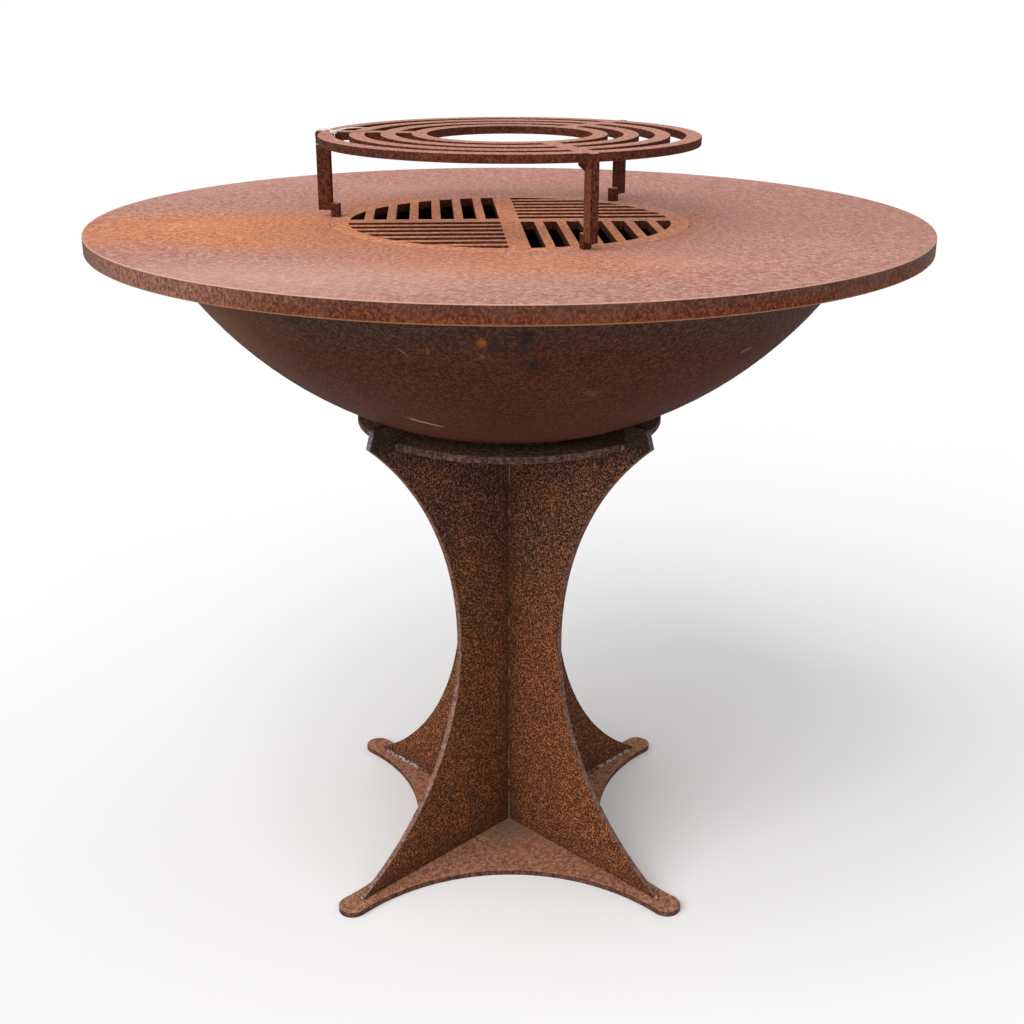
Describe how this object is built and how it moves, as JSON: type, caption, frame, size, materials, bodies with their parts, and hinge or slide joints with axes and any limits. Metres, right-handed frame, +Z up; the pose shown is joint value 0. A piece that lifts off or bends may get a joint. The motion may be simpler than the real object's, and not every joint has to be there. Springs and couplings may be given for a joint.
{
  "type": "fire pit with grate",
  "caption": "Round fire bowl on a cross-shaped stand, topped by a wide fire plate with a slotted grate insert and a raised cooking ring on legs.",
  "frame": {"origin": "centre of the plan at floor level, on the common axis of stand, bowl and fire plate", "axes": "+Z up; the front faces -Y, with a fin of the stand 45 degrees to each side of it; +X to the right seen from the front"},
  "size_m": [0.9999, 1, 0.9631],
  "materials": {
    "plate_steel": "weathering steel with a dry, even, orange to mauve rust skin and a fine grain",
    "grill_steel": "laser-cut weathering steel, pinkish rust on the faces and darker cut edges",
    "bowl_steel": "dark brown rust with soot, matt",
    "stand_steel": "coarse speckled orange and black-brown rust",
    "base_steel": "smoother light brown rust",
    "weld_steel": "rusted weld bead",
    "clear_nylon": "clear, glossy"
  },
  "bodies": {
    "stand": {"base_plate": "base_steel", "fin_through": "stand_steel", "fin_front_right": "stand_steel", "fin_back_left": "stand_steel", "support_ring": "stand_steel", "centre_welds": "weld_steel", "foot_welds": "weld_steel", "toe_welds": "weld_steel", "ring_welds": "weld_steel"},
    "bowl": {"bowl_shell": "bowl_steel"},
    "plate": {"fire_plate": "plate_steel", "insert_seat": "bowl_steel", "plate_lugs": "bowl_steel", "plate_welds": "weld_steel"},
    "insert": {"grate_insert": "plate_steel"},
    "grill": {"cooking_ring": "grill_steel", "leg_left": "grill_steel", "leg_back": "grill_steel", "leg_front": "grill_steel", "leg_welds": "weld_steel", "cable_tie": "clear_nylon"}
  },
  "joints": [
    {"name": "bowl_lift", "type": "slide", "parent": "stand", "child": "bowl", "axis": [0, 0, 1], "range_m": [0, 0.3]},
    {"name": "plate_lift", "type": "slide", "parent": "bowl", "child": "plate", "axis": [0, 0, 1], "range_m": [0, 0.3]},
    {"name": "insert_lift", "type": "slide", "parent": "plate", "child": "insert", "axis": [0, 0, 1], "range_m": [0, 0.3]},
    {"name": "grill_lift", "type": "slide", "parent": "insert", "child": "grill", "axis": [0, 0, 1], "range_m": [0, 0.3]}
  ]
}
